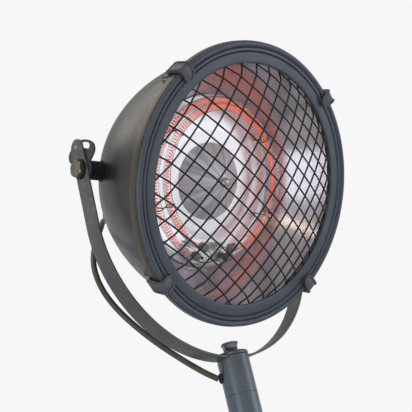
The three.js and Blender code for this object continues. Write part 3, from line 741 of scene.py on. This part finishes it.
def add_housing():
    shell = dome_line(64)
    shape = forwards(lathe(sheet(shell, 1.4), 192))
    piece("dome_shell", shape, HEAD, DOME_PAINT, "head", ["housing_dome"])
    band = [
        (153.3, 91), (154.6, 91.2), (155.6, 92), (156.6, 93.4), (158, 94.2), (159.4, 94.8), (160, 95.8),
        (160.2, 97.4),
        (160.2, 103.4),
    ]
    piece("housing_rim_band", forwards(lathe(sheet(band, 1.4), 192)), HEAD, RIM_PAINT_AND_SKIRT_REFLECTION, "head")

    gland = [
        (3.7, -131.8), (4.5, -131.8), (4.9, -130.6), (5.0, -127.6), (4.6, -127), (4.6, -126), (5.3, -125.4),
        (5.4, -122.6),
        (4.9, -122), (4.9, -121), (5.6, -120.4), (5.8, -117.6), (5.3, -117), (5.3, -116), (6.1, -115.4),
        (6.3, -112.6),
        (5.8, -112), (5.8, -111), (6.7, -110.4), (7, -107), (9.6, -106), (10.4, -105), (10.5, -101),
        (10, -100.4),
        (12.4, -100), (13, -99.4), (13, -97), (12.4, -96.4), (7.5, -96.4), (7.5, -86), (3.7, -86),
    ]
    piece("cable_gland", forwards(lathe(gland, 64)), HEAD, BLACK_RUBBER, "head",
          ["rear_gland"])


def tilt_plate_outline():
    """Drawn with +x to the head's front and +y up: a hub round the pivot and a lobed rim over the slot."""
    hub, mid, half = 15.5, 24.6, 9.8
    front, back = 90 - 21, 90 + 58
    outline = []
    for degree in range(0, 360, 2):
        reach = hub
        if front <= degree <= back:
            reach = mid + half
        else:
            off = min(abs(degree - front), abs(degree - back))
            aside = mid * math.sin(math.radians(off))
            if off < 90 and abs(aside) < half:
                reach = max(reach, mid * math.cos(math.radians(off)) + math.sqrt(half ** 2 - aside ** 2))
        outline.append(reach)
    for _ in range(3):
        after = outline[1:] + outline[:1]
        outline = [(outline[i - 1] + 2 * outline[i] + after[i]) / 4 for i in range(len(outline))]
    return [polar(reach, 2 * i) for i, reach in enumerate(outline)]


def tilt_slot():
    front, back, half = 90 - 10 - 1.5, 90 + 48 + 1.5, 3.5
    outline = [polar(SLOT_R + half, lerp(front, back, i / 24)) for i in range(25)]
    x, y = polar(SLOT_R, back)
    outline += [(x + polar(half, back + a)[0], y + polar(half, back + a)[1]) for a in range(15, 180, 15)]
    outline += [polar(SLOT_R - half, lerp(back, front, i / 24)) for i in range(25)]
    x, y = polar(SLOT_R, front)
    outline += [(x + polar(half, front + a)[0], y + polar(half, front + a)[1]) for a in range(195, 360, 15)]
    return outline


def add_pivot(name, side):
    outwards = Matrix.Rotation(math.radians(90 * side), 4, "Y")
    strap_out = ARM_X + STRAP_T / 2
    washer = [(6.3, 0.2), (10.8, 0.2), (11.6, 0.4), (11.8, 0.9), (11.4, 1.5), (10.6, 1.8), (6.3, 1.8)]
    place = outwards @ Matrix.Translation((0, 0, strap_out))
    piece(f"flange_washer_{name}", moved(lathe(washer, 64), place), HEAD, DARK_STEEL, "head",
          [f"pivot_washer_{name}"])
    bolt = moved(hex_bolt(5.6, 46),
                 outwards @ Matrix.Translation((0, 0, strap_out + 2)) @ Matrix.Rotation(0.3, 4, "Z"))
    piece(f"pivot_bolt_{name}_hex", bolt, HEAD, BOLT_STEEL, "head", [f"pivot_bolt_{name}"],
          sharp=25)

    plate_x = ARM_X - STRAP_T / 2 - 0.3 - 1.25
    bore = ring(6.3, 32)
    plate = prism([tilt_plate_outline(), tilt_slot(), bore], 2.5, 0.35)
    verts, faces = plate
    plate = [(side * plate_x + z, -x, y) for x, y, z in verts], faces
    piece(f"tilt_plate_{name}_slotted", plate, HEAD, PLATE_PAINT, "head",
          [f"tilt_plate_{name}"])

    start, end = 131.0, plate_x - 1.55
    spacer = [
        (6.4, start - 3), (11, start - 3), (11, start + 1.6), (12.2, start + 1.7), (12.4, start + 2.2),
        (12.2, start + 2.7),
        (11.1, start + 2.9), (11.1, end - 3.2), (11.5, end - 2.9), (11.6, end - 0.6), (11.2, end), (6.4, end),
    ]
    piece(f"pivot_spacer_{name}_turned", moved(lathe(spacer, 96), outwards), HEAD, BLACK_RUBBER, "head",
          [f"pivot_spacer_{name}"])


add_housing()
add_pivot("right", 1)
add_pivot("left", -1)

# ---------------------------------------------------------------- bezel, grille and clips


def add_bezel():
    front = [
        (140.9, 107.6), (140.9, 108.7), (141.3, 109.4), (142.2, 109.8), (144, 109.9), (148, 109.9),
        (151.7, 109.9),
        (152.4, 109.7), (152.8, 108.9), (153.2, 107.9), (153.6, 107.9), (154, 109), (154.5, 110.2),
        (155.4, 110.9),
        (156.5, 111), (157.5, 110.6), (158.1, 109.7), (158.4, 108.8), (158.8, 108.8), (159.2, 109.9),
        (160, 111.3),
        (161.4, 112.1), (163, 112.2), (164.4, 111.6), (165.2, 110.5), (165.4, 109.3), (165, 108.5),
        (163.6, 108.2),
    ]
    ring_shape = forwards(lathe(sheet(front, 0.9), 192))
    piece("bezel_ring", ring_shape, HEAD, BEZEL_PAINT, "head", ["front_bezel"])
    skirt = [
        (163.6, 107.4), (165.2, 107.4), (165.8, 107), (165.9, 106), (165.9, 99), (165.6, 98.2),
        (164.8, 97.7), (163.4, 97.6),
    ]
    # The skirt is part of the bezel, given the olive rim colour instead of the slate bezel paint: painted
    # reflection of warm surroundings.
    piece("bezel_skirt", forwards(lathe(sheet(skirt, 1.1), 192)), HEAD, RIM_PAINT_AND_SKIRT_REFLECTION, "head")


def grille_height(r):
    return 111.8 + 31 * (1 - (r / 141) ** 2) - 5.4 * smoothstep(127, 141, r)


def add_grille():
    reach, wire = 143, 1.05
    shapes = []
    for angle, first, pitch, layer in ((-32.5, 12.7, 17.05, 0.75), (-122.7, 8.1, 17.56, -0.75)):
        dx, dz = polar(1, angle)
        for k in range(-10, 11):
            offset = first + k * pitch
            if abs(offset) > reach - 4:
                continue
            half = math.sqrt(reach ** 2 - offset ** 2)
            count = max(int(half / 3.2), 6)
            path = []
            for i in range(-count, count + 1):
                along = half * i / count
                x, z = along * dx - offset * dz, along * dz + offset * dx
                path.append((x, -(grille_height(math.hypot(x, z)) + layer), z))
            shapes.append(sweep(path, ring(wire, 8)))
    rim = [(141.8, 105.2), (149.6, 105.2), (149.9, 105.6), (149.6, 106.7), (142.2, 107), (141.6, 106.4)]
    shapes.append(forwards(lathe(rim, 160)))
    piece("grille_wires", merged(*shapes), HEAD, GRILLE_PAINT, "head", ["wire_grille"],
          sharp=60)


CLIPS = {"top_right": 45, "top_left": 135, "bottom_left": 225, "bottom_right": 315}
CLIP_W = 16
HINGE = (168.5, 93.5)


def clip_place(angle):
    """Turns (x outwards from the axis, y forwards, z across) into the head's frame."""
    x, z = polar(1, angle)
    out, ahead = Vector((x, 0, z)), Vector((0, -1, 0))
    return Matrix((out, ahead, out.cross(ahead))).transposed().to_4x4()


def arc(cx, cy, radius, start, end, steps=6):
    return [(cx + polar(radius, lerp(start, end, i / steps))[0],
             cy + polar(radius, lerp(start, end, i / steps))[1])
            for i in range(steps + 1)]


def hook_line():
    """The clip's middle line, from its rounded tip over the bezel and round its corner to the hinge."""
    return [
        *[(lerp(152.5, 165.2, i / 12), lerp(113.6, 115.4, i / 12)) for i in range(13)],
        *arc(166.1, 111.5, 4.0, 92, 4, 8),
        *[(170.1, lerp(110, 96.6, i / 8)) for i in range(9)],
    ]


def add_clip(name, angle):
    place = clip_place(angle)
    body = f"clip_{name}"
    line = hook_line()
    half = CLIP_W / 2
    lengths = [0.0]
    for a, b in zip(line, line[1:]):
        lengths.append(lengths[-1] + math.dist(a, b))

    def half_width(run):
        return math.sqrt(max(half ** 2 - (half - run) ** 2, 0.04)) if run < half else half

    fine = [p for p in spline([(x, y, 0) for x, y in line], 2)]
    runs = [0.0]
    for a, b in zip(fine, fine[1:]):
        runs.append(runs[-1] + (b - a).length)
    strip = sweep(fine, rounded_rect(CLIP_W, 1.5, 0.5, 2), first_side=(0, 0, 1),
                  scale=lambda i: (max(half_width(runs[i]) / half, 0.08), 1))

    # The raised edge goes down one side of the strip, round the tip and back up the other side.
    def edge(sign):
        made = []
        for point, run, (_, other) in zip(fine, runs, frames_along(fine, first_side=(0, 0, 1))):
            width = half_width(run) - 0.9
            made.append(point + Vector((0, 0, sign * max(width, 0))) + other * -1.1)
        return made

    rim_path = edge(1)[::-1] + edge(-1)[1:]
    rim = sweep(rim_path, ring(1.05, 10))
    cheek = [
        (166.4, 92), (167.6, 91), (169.6, 90.9), (171, 92), (171, 109), (170.4, 113), (167.6, 116.2),
        (164, 116.2),
        (163, 112.8), (165.6, 113), (167.5, 111.4), (167.5, 98), (166.2, 95.4), (165.9, 93.6),
    ]
    cheeks = [moved(prism([cheek], 1.6, 0.3),
                    Matrix.Translation((0, 0, sign * (half - 0.8)))) for sign in (-1, 1)]
    shape = moved(merged(strip, rim, *cheeks), place)
    piece(f"clip_{name}_hook", shape, HEAD, CLIP_PAINT, body, [f"clip_hook_{name}"])

    leaf_line = [
        (154.8, 66), (155.3, 72), (155.9, 78.5), (157, 81.6), (159.4, 84.8), (162.6, 87.8), (165.4, 90.2),
        (167.8, 92.4),
    ]
    leaf_fine = spline([(x, y, 0) for x, y in leaf_line], 4)
    leaf = sweep(leaf_fine, rounded_rect(11, 1.6, 0.5, 2), first_side=(0, 0, 1),
                 scale=lambda i: (min(0.62 + 0.38 * smoothstep(0, 10, i), 1), 1))
    barrel = [(1.5, -5.5), (2.2, -5.5), (2.6, -5.1), (2.6, 5.1), (2.2, 5.5), (1.5, 5.5)]
    barrel = moved(lathe(barrel, 32), Matrix.Translation((*HINGE, 0)))
    pin = [(0, -9), (1.9, -9), (2.3, -8.6), (2.3, -8.2), (1.4, -8.1), (1.4, 8.1), (2.3, 8.2), (2.3, 8.6),
           (1.9, 9), (0, 9)]
    pin = moved(lathe(pin, 24), Matrix.Translation((*HINGE, 0)))
    screws = []
    for height in (69, 76):
        x = lerp(154.8, 155.9, (height - 66) / 12.5) + 0.8
        head = [(0, -2), (2.5, -2), (2.5, 0.2), (2.2, 1), (1.5, 1.5), (0, 1.7)]
        screws.append(moved(lathe(head, 24),
                            Matrix.Translation((x, height, 0)) @ Matrix.Rotation(math.radians(90), 4, "Y")))
    shape = moved(merged(leaf, barrel, pin, *screws), place)
    piece(f"clip_{name}_leaf", shape, HEAD, CLIP_PAINT, "head", [f"clip_leaf_{name}"])


add_bezel()
add_grille()
for clip_name, clip_angle in CLIPS.items():
    add_clip(clip_name, clip_angle)

# ---------------------------------------------------------------- reflector and lamps

LAMPS = {
    "outer": {"radius": 96, "forward": 52.5, "rise": 2.5, "lean": -0.03},
    "inner": {"radius": 86, "forward": 60.8, "rise": 4.6, "lean": -0.045},
}


def add_reflector():
    wall = [
        (99, 34.6), (104.5, 34.6), (106.6, 35.4), (108.2, 37.4), (114, 47.4), (120, 57.8), (127, 69.6),
        (134, 81.4), (141, 93),
        (145.4, 100.4), (147, 102.8), (149.2, 104.1), (152, 104.4), (159, 104.4),
    ]
    piece("reflector_cone_wall", forwards(lathe(sheet(wall, 0.9), 192)), HEAD, REFLECTOR, "head",
          ["reflector_wall"])
    plate = [
        (4, 36), (105.4, 36), (105.4, 36.7), (104.8, 37), (101, 37), (100.2, 37.3), (99.4, 37.4),
        (98.6, 37.3), (98, 37),
        (66, 37.05), (64, 37.15), (62, 37.05), (52, 37), (4, 37),
    ]
    piece("lamp_plate_spun", forwards(lathe(plate, 192)), HEAD, PLATE_METAL, "head",
          ["lamp_plate"])
    cone = [(47.4, 37.7), (46.6, 37.8), (45.6, 38.5), (43.6, 40.1), (35, 47), (24, 54.8), (13, 61.1),
            (7, 63.8), (4.4, 64.3)]
    cone = [(x, y) for x, y, _ in spline([(x, y, 0) for x, y in cone], 4)]
    piece("centre_cone_spun", forwards(lathe(sheet(cone, 0.9), 160)), HEAD, CONE_METAL, "head",
          ["centre_cone"])
    nut = [(0, 15), (3, 15), (3, 65), (5.9, 65), (6.1, 65.5), (6.1, 67.2), (5.7, 68.4), (4.8, 69.8),
           (3.4, 70.9), (1.8, 71.4),
           (0, 71.5)]
    piece("dome_nut", forwards(lathe(nut, 64)), HEAD, BRIGHT_STEEL, "head", ["cone_stud"])


def ring_point(lamp, degrees, radial=0.0, ahead=0.0):
    """A point on a ring lamp's middle line; radial and ahead step off it sideways."""
    across, up = polar(lamp["radius"] + radial, degrees)
    return Vector((across, -(lamp["forward"] + lamp["lean"] * up + ahead), lamp["rise"] + up))


def glass_tube(path, outer, inner, sides=24):
    """A hollow tube with square-cut ends."""
    outside, faces = sweep(path, ring(outer, sides))
    inside, _ = sweep(path, ring(inner, sides))
    walls = faces[:-2]
    count = len(outside)
    last = (len(path) - 1) * sides
    made = list(walls) + [tuple(count + i for i in face[::-1]) for face in walls]
    for start, flip in ((0, 1), (last, -1)):
        for k in range(sides):
            j = (k + 1) % sides
            made.append((start + k, count + start + k, count + start + j, start + j)[::flip])
    return outside + inside, made


def add_lamp(name, lamp):
    gap = 19
    sweep_angle = 360 - 2 * gap
    path = [ring_point(lamp, -90 + gap + sweep_angle * i / 150) for i in range(151)]
    piece(f"{name}_lamp_glass", glass_tube(path, 4.8, 3.9), HEAD, QUARTZ, "head",
          [f"{name}_lamp_tube"])

    coil_gap, pitch, coil_r, per_turn = 35, 3.6, 2.75, 12
    span = 360 - 2 * coil_gap
    turns = int(math.radians(span) * lamp["radius"] / pitch)
    helix = []
    for i in range(turns * per_turn + 1):
        degrees = -90 + coil_gap + span * i / (turns * per_turn)
        phase = 2 * math.pi * i / per_turn
        helix.append(ring_point(lamp, degrees, coil_r * math.cos(phase), coil_r * math.sin(phase)))
    shapes = [sweep(helix, ring(0.5, 6))]
    for start, end in ((gap + 1, coil_gap), (360 - coil_gap, 359 - gap)):
        lead = [ring_point(lamp, -90 + lerp(start, end, i / 10)) for i in range(11)]
        shapes.append(sweep(lead, ring(0.5, 6)))
    piece(f"{name}_lamp_coil", merged(*shapes), HEAD, HOT_COIL, "head",
          [f"{name}_lamp_filament"], sharp=60)

    cap = [(0, 0.3), (5.2, 0.3), (5.4, 0.7), (5.4, 9), (4.8, 10.2), (3.4, 10.6), (3.1, 12), (0, 12.2)]
    for end, at, toward in (("right", gap, -1), ("left", 360 - gap, 1)):
        point = ring_point(lamp, at - 90)
        ahead = (ring_point(lamp, at - 90 + toward) - point).normalized()
        place = Matrix.Translation(point) @ Vector((0, 0, 1)).rotation_difference(ahead).to_matrix().to_4x4()
        piece(f"{name}_lamp_end_{end}", moved(lathe(cap, 32), place), HEAD, CAP_CERAMIC, "head",
              [f"{name}_lamp_cap_{end}"])


def add_lamp_wiring():
    """The looped supply wires between the lamps' ends, and the wire clamps that hold the tubes."""
    shapes = []
    for lamp_name, lamp in LAMPS.items():
        for side in (-1, 1):
            start = ring_point(lamp, -90 + side * 13)
            drop = 8 if lamp_name == "outer" else 13
            points = [
                start,
                start + Vector((-side * 5, -1, -drop * 0.3)),
                start + Vector((-side * 9, -3, -drop)),
                start + Vector((-side * 5, 2, -drop - 5)),
                start + Vector((side * 3, 6, -drop - 3)),
                start + Vector((side * 6, 11, -drop + 3)),
                Vector((start.x + side * 2, -38, start.z - drop + 6)),
            ]
            shapes.append(sweep(spline(points, 6), ring(0.42, 8)))
    loop = [(-22, -60, -80), (-16, -64, -88), (-6, -66, -93), (3, -64, -90), (8, -60, -82), (15, -60, -78),
            (24, -58, -84), (27, -50, -92)]
    shapes.append(sweep(spline(loop, 6), ring(0.45, 8)))
    loop = [(-26, -50, -94), (-14, -54, -98), (-2, -56, -97), (10, -54, -95), (20, -50, -97), (29, -46, -90)]
    shapes.append(sweep(spline(loop, 6), ring(0.4, 8)))
    for x, y, z in ((-15, -57, -79), (-13, -52, -92), (27, -56, -76), (24, -51, -90)):
        bar = prism([rounded_rect(4.6, 2.6, 0.8)], 2.4, 0.4)
        shapes.append(moved(bar,
                            Matrix.Translation((x, y,
                                                z)) @ Matrix.Rotation(0.4, 4,
                                                                      "Y") @ Matrix.Rotation(1.57, 4, "X")))
    piece("lamp_supply_wires", merged(*shapes), HEAD, DARK_STEEL, "head")

    clamps = []
    for angle in (38, 146, 205, 335):
        for lamp in LAMPS.values():
            across = [ring_point(lamp, angle, *polar(5.5, 360 * i / 28)) for i in range(28)]
            clamps.append(sweep(across, ring(0.55, 6), closed=True))
        low = ring_point(LAMPS["outer"], angle, -5.5)
        top = ring_point(LAMPS["inner"], angle, 5.5)
        foot = Vector((low.x * 0.98, -37.2, low.z * 0.98))
        clamps.append(sweep(spline([top, (low + top) / 2, low, foot], 6), ring(0.7, 8)))
    piece("lamp_wire_clamps", merged(*clamps), HEAD, DARK_STEEL, "head",
          ["lamp_stand_right", "lamp_stand_left"])


add_reflector()
for lamp_name, lamp_sizes in LAMPS.items():
    add_lamp(lamp_name, lamp_sizes)
add_lamp_wiring()

# ---------------------------------------------------------------- CAD nodes that are shown as they are

KEPT = {
    "base_weight": CAST_IRON,
    "base_plug": BOLT_STEEL,
    "base_washer": BOLT_STEEL,
    "base_bolt": BOLT_STEEL,
    "pole_coupler": BOLT_STEEL,
    "pole_plug": BOLT_STEEL,
    "heat_shield": PLATE_METAL,
    "lamp_holder": PLATE_METAL,
    "terminal_block": BLOCK_CERAMIC,
}
for node_name, node_material in KEPT.items():
    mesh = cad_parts[node_name].data
    mesh.materials.clear()
    mesh.materials.append(node_material)

# ---------------------------------------------------------------- floor and light


FLOOR_HALF = 40  # metres each way
BACKDROP = (0.93, 0.93, 0.935, 1)
HORIZON = (0.9, 0.95, 1, 1)
OVERHEAD = (0.5, 0.5, 0.5, 1)
SKY_STRENGTH = 0.95


def add_floor():
    half = FLOOR_HALF
    mesh = bpy.data.meshes.new("floor")
    corners = [(-half, -half, 0), (half, -half, 0), (half, half, 0), (-half, half, 0)]
    mesh.from_pydata(corners, [], [(0, 1, 2, 3)])
    floor = bpy.data.objects.new("floor", mesh)
    bpy.context.collection.objects.link(floor)
    n = Nodes("floor")
    n.set(Base_Color=rgba("f1f1f1"), Roughness=0.7)
    mesh.materials.append(n.material)


def add_light(name, place, target, size, power, colour):
    data = bpy.data.lights.new(name, "AREA")
    data.shape = "RECTANGLE"
    data.size, data.size_y = size
    data.energy = power
    data.color = colour
    light = bpy.data.objects.new(name, data)
    bpy.context.collection.objects.link(light)
    aim = (Vector(target) - Vector(place)).to_track_quat("-Z", "Y")
    light.matrix_world = Matrix.Translation(place) @ aim.to_matrix().to_4x4()


def add_world():
    world = bpy.data.worlds.new("studio")
    bpy.context.scene.world = world
    world.use_nodes = True
    tree = world.node_tree
    tree.nodes.clear()
    seen, light = tree.nodes.new("ShaderNodeBackground"), tree.nodes.new("ShaderNodeBackground")
    seen.inputs["Color"].default_value = BACKDROP
    light.inputs["Strength"].default_value = SKY_STRENGTH
    # Bright round the horizon, dimmer overhead.
    ramp = tree.nodes.new("ShaderNodeValToRGB")
    ramp.color_ramp.elements[0].position = 0.05
    ramp.color_ramp.elements[0].color = HORIZON
    ramp.color_ramp.elements[1].position = 0.5
    ramp.color_ramp.elements[1].color = OVERHEAD
    coords, parts = tree.nodes.new("ShaderNodeTexCoord"), tree.nodes.new("ShaderNodeSeparateXYZ")
    tree.links.new(coords.outputs["Generated"], parts.inputs[0])
    tree.links.new(parts.outputs["Z"], ramp.inputs[0])
    tree.links.new(ramp.outputs[0], light.inputs["Color"])
    path, mix = tree.nodes.new("ShaderNodeLightPath"), tree.nodes.new("ShaderNodeMixShader")
    out = tree.nodes.new("ShaderNodeOutputWorld")
    tree.links.new(path.outputs["Is Camera Ray"], mix.inputs[0])
    tree.links.new(light.outputs[0], mix.inputs[1])
    tree.links.new(seen.outputs[0], mix.inputs[2])
    tree.links.new(mix.outputs[0], out.inputs[0])


add_floor()
add_world()
HEAD_AT = (0, 0, 1.6)
add_light("top", (-0.5, 0.8, 3.2), HEAD_AT, (1.3, 1.3), 9, (1, 0.93, 0.84))
add_light("left", (-1.6, -0.35, 0.95), HEAD_AT, (0.9, 1.3), 8.5, (0.86, 0.95, 1))
add_light("strip", (-1.52, -1.06, 2.22), HEAD_AT, (1.2, 0.1), 2.6, (1, 0.82, 0.6))
add_light("right", (1.4, -1.5, 1.5), HEAD_AT, (1.2, 1.5), 9, (0.9, 0.94, 1))
bpy.context.scene.view_settings.view_transform = "Standard"
bpy.context.scene.view_settings.look = "None"
